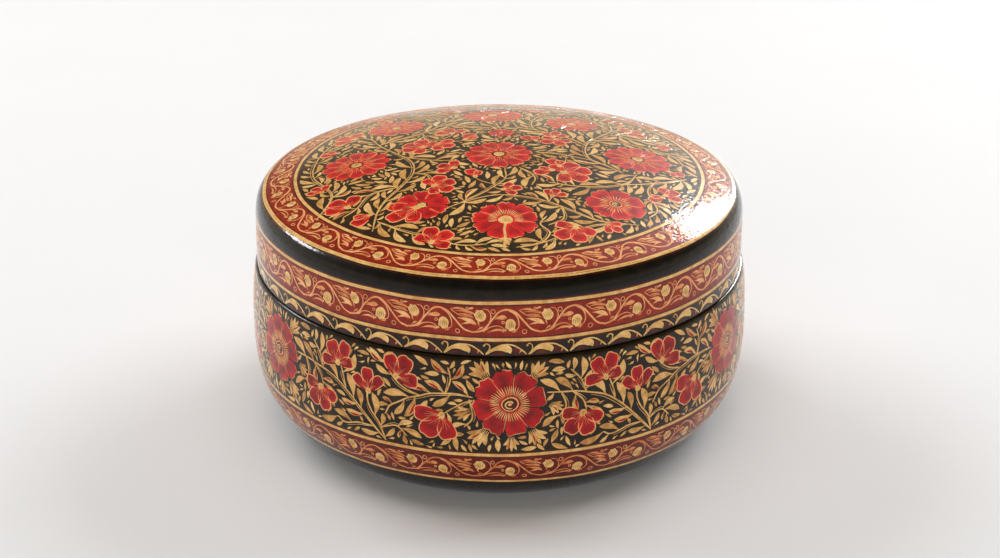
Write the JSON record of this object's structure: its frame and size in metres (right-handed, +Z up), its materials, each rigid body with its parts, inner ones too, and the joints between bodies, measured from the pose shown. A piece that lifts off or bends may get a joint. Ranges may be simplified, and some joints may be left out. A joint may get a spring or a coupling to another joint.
{
  "type": "round lidded box",
  "caption": "Round lacquered papier mache box with a bellied body and a lift-off domed lid that seats over a glued collar.",
  "frame": {"origin": "centre of the foot, on the surface that the box stands on", "axes": "+Z up along the axis of the round box, which is also the way the lid lifts; -Y towards the picture's viewer"},
  "size_m": [0.1278, 0.1278, 0.0703],
  "materials": {
    "painted_body": "gloss",
    "lacquered_base": "satin",
    "lacquered_collar": "satin",
    "painted_lid": "gloss"
  },
  "bodies": {
    "box_body": {"body_shell": "painted_body", "base_disc": "lacquered_base", "collar": "lacquered_collar"},
    "lid": {"lid_shell": "painted_lid"}
  },
  "joints": [
    {"name": "lid_lift", "type": "slide", "parent": "box_body", "child": "lid", "axis": [0, 0, 1], "range_m": [0, 0.045]}
  ]
}
